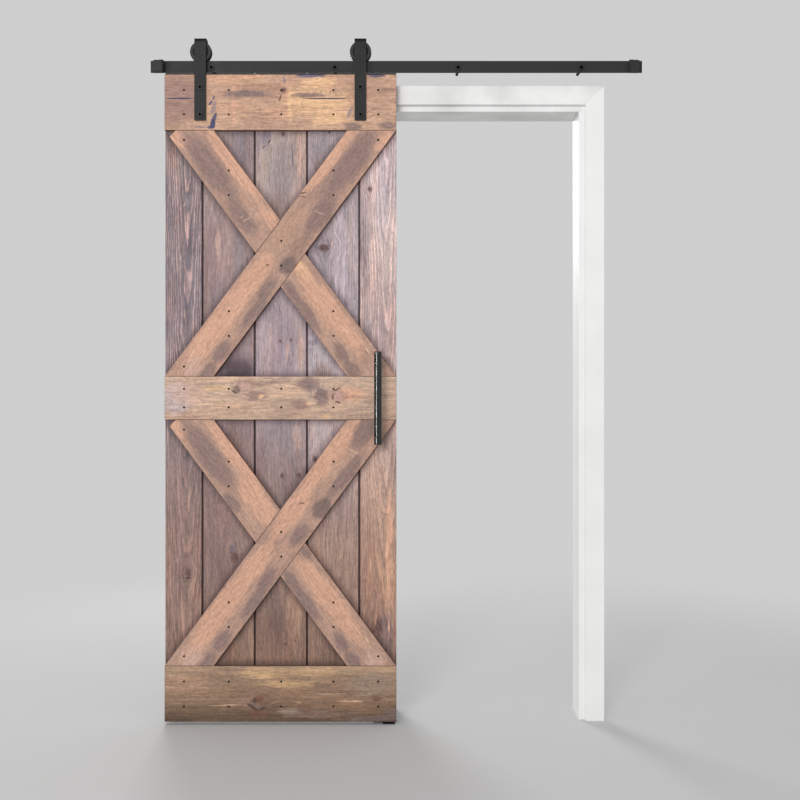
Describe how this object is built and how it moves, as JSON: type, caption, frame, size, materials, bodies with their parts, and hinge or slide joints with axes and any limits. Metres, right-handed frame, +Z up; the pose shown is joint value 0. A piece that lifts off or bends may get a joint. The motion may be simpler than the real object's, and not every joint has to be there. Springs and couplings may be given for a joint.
{
  "type": "sliding barn door",
  "caption": "Rustic plank door with two cross-braced bays, hung on grooved wheels from a flat black track, with its white doorway lining and casing.",
  "frame": {"origin": "foot of the left jamb, at its front inner corner: on the floor, in the plane of the wall's face, below the middle of the track", "axes": "+X along the wall towards the right, +Y into the wall, +Z up"},
  "size_m": [1.62, 0.2445, 2.2749],
  "materials": {
    "plank_wood": "weathered purple-brown planks, matte",
    "rail_wood": "weathered tan boards, matte",
    "brace_wood": "weathered pinkish-brown boards, matte",
    "white_paint": "white satin paint on wood",
    "black_powder_coat": "matte black powder coat",
    "black_bolt": "black zinc",
    "black_wheel": "matte black turned steel",
    "black_rubber": "matte",
    "bright_steel": "ground",
    "black_handle": "satin black"
  },
  "bodies": {
    "root": {"left_jamb": "white_paint", "right_jamb": "white_paint", "head_jamb": "white_paint", "left_casing": "white_paint", "right_casing": "white_paint", "head_casing": "white_paint", "track": "black_powder_coat", "track_spacers": "black_powder_coat", "left_stop": "black_powder_coat", "right_stop": "black_powder_coat", "track_bolts": "black_bolt", "left_stop_set_screw": "black_bolt", "right_stop_set_screw": "black_bolt", "floor_guide_screws": "black_bolt", "left_stop_bumper": "black_rubber", "right_stop_bumper": "black_rubber", "floor_guide": "black_powder_coat"},
    "leaf": {"plank_1": "plank_wood", "plank_2": "plank_wood", "plank_3": "plank_wood", "plank_4": "plank_wood", "plank_5": "plank_wood", "top_rail": "rail_wood", "middle_rail": "rail_wood", "bottom_rail": "rail_wood", "upper_long_brace": "brace_wood", "upper_left_half_brace": "brace_wood", "upper_right_half_brace": "brace_wood", "lower_long_brace": "brace_wood", "lower_left_half_brace": "brace_wood", "lower_right_half_brace": "brace_wood", "pull_handle": "black_handle", "handle_screws": "black_bolt", "left_strap": "black_powder_coat", "left_hanger_bolts": "black_bolt", "left_sleeve_nuts": "black_bolt", "left_axle": "black_bolt", "left_axle_nut": "black_bolt", "left_bearing_inner_ring": "bright_steel", "right_strap": "black_powder_coat", "right_hanger_bolts": "black_bolt", "right_sleeve_nuts": "black_bolt", "right_axle": "black_bolt", "right_axle_nut": "black_bolt", "right_bearing_inner_ring": "bright_steel"},
    "left_roller": {"left_wheel": "black_wheel", "left_bearing_outer_ring": "bright_steel"},
    "right_roller": {"right_wheel": "black_wheel", "right_bearing_outer_ring": "bright_steel"}
  },
  "joints": [
    {"name": "leaf_slide", "type": "slide", "parent": "root", "child": "leaf", "axis": [1, 0, 0], "range_m": [-0.1005, 0.8625]},
    {"name": "left_wheel_roll", "type": "hinge", "parent": "leaf", "child": "left_roller", "pos_m": [-0.644, -0.043, 2.2142], "axis": [0, 1, 0], "continuous": true},
    {"name": "right_wheel_roll", "type": "hinge", "parent": "leaf", "child": "right_roller", "pos_m": [-0.118, -0.043, 2.2142], "axis": [0, 1, 0], "continuous": true}
  ],
  "couplings": [
    {"joint": "left_wheel_roll", "follows": "leaf_slide", "rad_per_m": 35.714},
    {"joint": "right_wheel_roll", "follows": "leaf_slide", "rad_per_m": 35.714}
  ]
}
